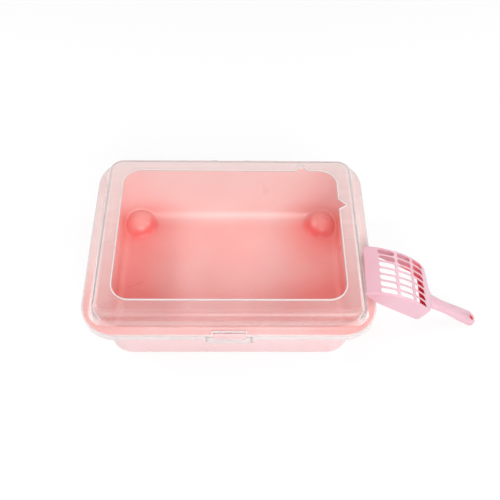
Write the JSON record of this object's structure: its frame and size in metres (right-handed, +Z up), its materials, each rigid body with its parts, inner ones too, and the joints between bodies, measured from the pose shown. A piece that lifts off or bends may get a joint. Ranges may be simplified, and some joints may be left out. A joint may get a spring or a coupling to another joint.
{
  "type": "cat litter tray",
  "caption": "Rectangular plastic cat litter tray with a raised clip-on splash cover, two cat-ear notches in its opening, and a slotted scoop leaning on its side.",
  "frame": {"origin": "on the floor, under the middle of the whole set, from the cover's left side to the end of the scoop's handle", "axes": "+X along the long side towards the scoop, +Y to the back, +Z up"},
  "size_m": [0.657, 0.3544, 0.1533],
  "materials": {
    "tray_plastic": "satin moulded polypropylene",
    "cover_plastic": "translucent natural polypropylene, semi-gloss",
    "scoop_plastic": "satin moulded polypropylene, cooler pink"
  },
  "bodies": {
    "tray": {"tray": "tray_plastic"},
    "cover": {"cover": "cover_plastic"},
    "scoop": {"scoop": "scoop_plastic"}
  },
  "joints": [
    {"name": "cover_lift", "type": "slide", "parent": "tray", "child": "cover", "axis": [0, 0, 1], "range_m": [0, 0.12]},
    {"name": "scoop_lift", "type": "slide", "parent": "cover", "child": "scoop", "axis": [0, 0, 1], "range_m": [0, 0.15]}
  ]
}
